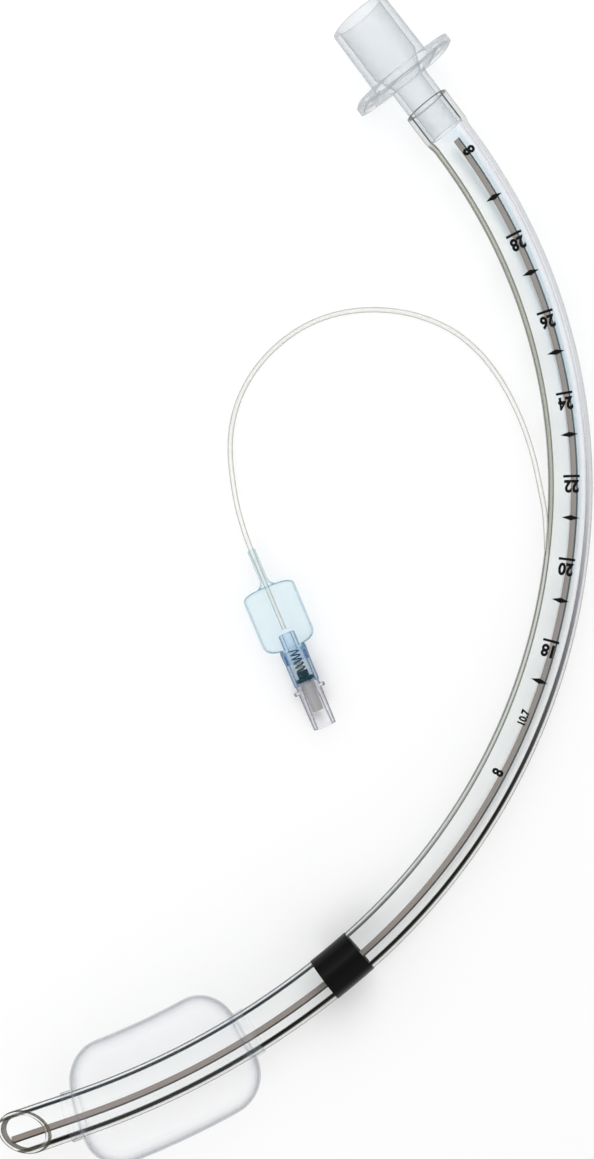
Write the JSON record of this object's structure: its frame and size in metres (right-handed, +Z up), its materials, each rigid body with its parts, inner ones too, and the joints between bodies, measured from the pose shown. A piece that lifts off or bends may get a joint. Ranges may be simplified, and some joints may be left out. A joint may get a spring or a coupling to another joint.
{
  "type": "cuffed endotracheal tube",
  "caption": "Curved clear breathing tube with bevelled tip, inflated cuff, flanged conical connector, and a pilot balloon with a sprung check valve on a thin inflation line.",
  "frame": {"origin": "centre of the footprint of the tube, cuff and connector, on the floor the object lies on", "axes": "+Z up from the floor; +Y is the plan direction the airway connector points; the patient end lies towards -X and -Y"},
  "size_m": [0.2436, 0.1872, 0.031],
  "materials": {
    "clear_tube": "smooth clear soft PVC",
    "contrast_line": "filled plastic inside the wall",
    "black_print": "printed ink",
    "cuff_film": "thin clear film",
    "connector": "milky translucent moulding",
    "clear_line": "clear thin tubing",
    "balloon_film": "pale blue clear film",
    "valve_blue": "blue moulding",
    "valve_clear": "clear tinted moulding",
    "spring_steel": "drawn wire",
    "seal_rubber": "moulded rubber",
    "stem_grey": "grey moulding",
    "socket_clear": "clear hard moulding"
  },
  "bodies": {
    "tube_assembly": {"tube_body": "clear_tube", "xray_line": "contrast_line", "depth_band": "black_print", "depth_marks": "black_print", "cuff": "cuff_film", "airway_connector": "connector", "inflation_line": "clear_line", "pilot_balloon": "balloon_film", "dip_tube": "clear_line", "valve_cap": "valve_blue", "valve_body": "valve_clear", "valve_spring": "spring_steel", "syringe_socket": "socket_clear"},
    "valve_plunger": {"valve_seal": "seal_rubber", "valve_stem": "stem_grey"}
  },
  "joints": [
    {"name": "valve_opening", "type": "slide", "parent": "tube_assembly", "child": "valve_plunger", "axis": [0.2639, 0.9645, 0.0047], "range_m": [0, 0.0012], "stiffness_N_per_m": 400, "springref_m": -0.001, "deforming": ["valve_spring"]}
  ]
}
